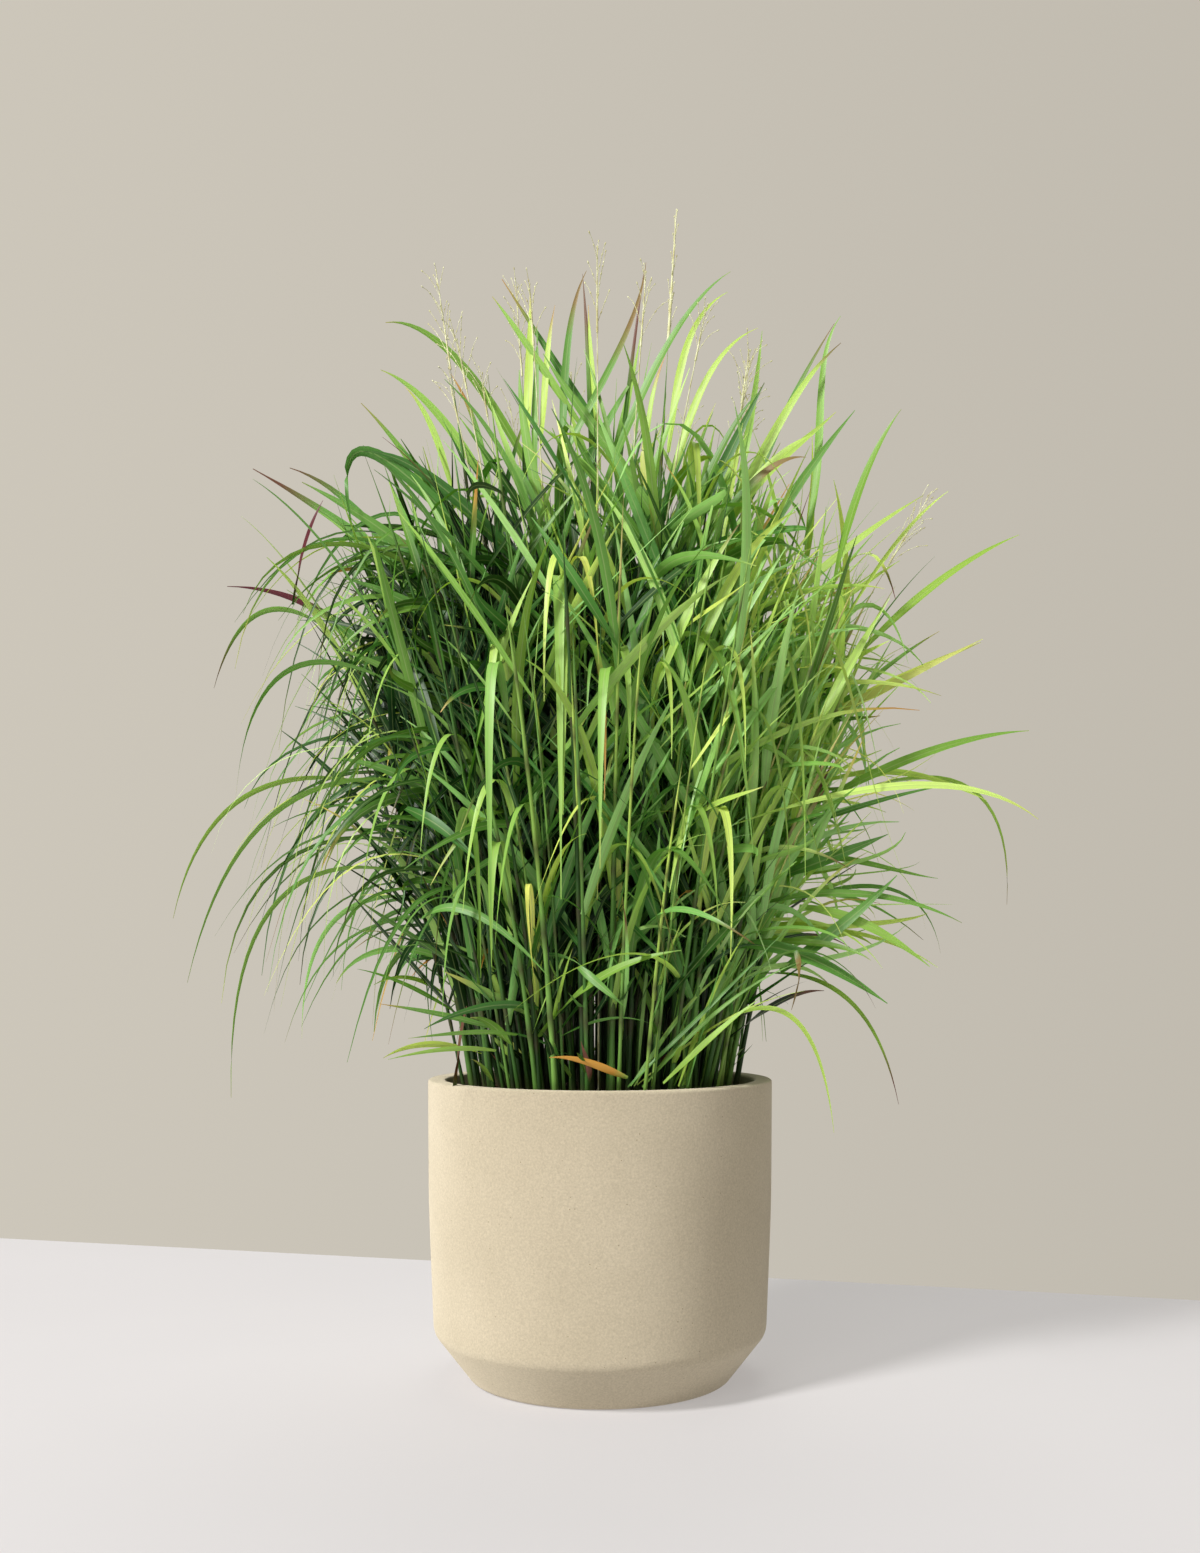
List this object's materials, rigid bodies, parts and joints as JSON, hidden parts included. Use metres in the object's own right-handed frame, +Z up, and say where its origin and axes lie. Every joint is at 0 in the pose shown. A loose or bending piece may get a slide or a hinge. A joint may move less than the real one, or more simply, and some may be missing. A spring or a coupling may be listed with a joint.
{
  "type": "potted switchgrass",
  "caption": "Upright clump of switchgrass with arching leaves and loose seed heads, growing in soil in a round, chamfered stone-look planter that stands on a floor.",
  "frame": {"origin": "centre of the planter's flat foot, on the floor", "axes": "+Z up along the planter's axis, +X to the right of the object seen from its front, -Y towards its front"},
  "size_m": [0.9053, 0.7275, 1.2386],
  "materials": {
    "cast_stone": "matte",
    "soil": "matte",
    "stem": "satin",
    "flowering_stem": "satin",
    "leaf": "satin"
  },
  "bodies": {
    "root": {"planter": "cast_stone", "soil": "soil", "leafy_stem_01": "stem", "leafy_stem_02": "stem", "leafy_stem_03": "stem", "leafy_stem_04": "stem", "leafy_stem_05": "stem", "leafy_stem_06": "stem", "leafy_stem_07": "stem", "leafy_stem_08": "stem", "leafy_stem_09": "stem", "leafy_stem_10": "stem", "leafy_stem_11": "stem", "leafy_stem_12": "stem", "leafy_stem_13": "stem", "leafy_stem_14": "stem", "leafy_stem_15": "stem", "leafy_stem_16": "stem", "leafy_stem_17": "stem", "flower_stem_01": "flowering_stem", "flower_stem_02": "flowering_stem", "flower_stem_03": "flowering_stem", "flower_stem_04": "flowering_stem", "flower_stem_05": "flowering_stem", "leaf_01": "leaf", "leaf_02": "leaf", "leaf_03": "leaf", "leaf_04": "leaf", "leaf_05": "leaf", "leaf_06": "leaf", "leaf_07": "leaf", "leaf_08": "leaf", "leaf_09": "leaf", "leaf_10": "leaf", "leaf_11": "leaf", "leaf_12": "leaf", "leaf_13": "leaf", "leaf_14": "leaf", "leaf_15": "leaf", "leaf_16": "leaf", "leaf_17": "leaf", "leaf_18": "leaf", "leaf_19": "leaf", "leaf_20": "leaf", "leaf_21": "leaf", "leaf_22": "leaf", "leaf_23": "leaf", "leaf_24": "leaf", "leaf_25": "leaf", "leaf_26": "leaf", "leaf_27": "leaf", "leaf_28": "leaf", "leaf_29": "leaf", "leaf_30": "leaf", "leaf_31": "leaf", "leaf_32": "leaf", "leaf_33": "leaf", "leaf_34": "leaf", "leaf_35": "leaf", "leaf_36": "leaf"}
  },
  "joints": []
}
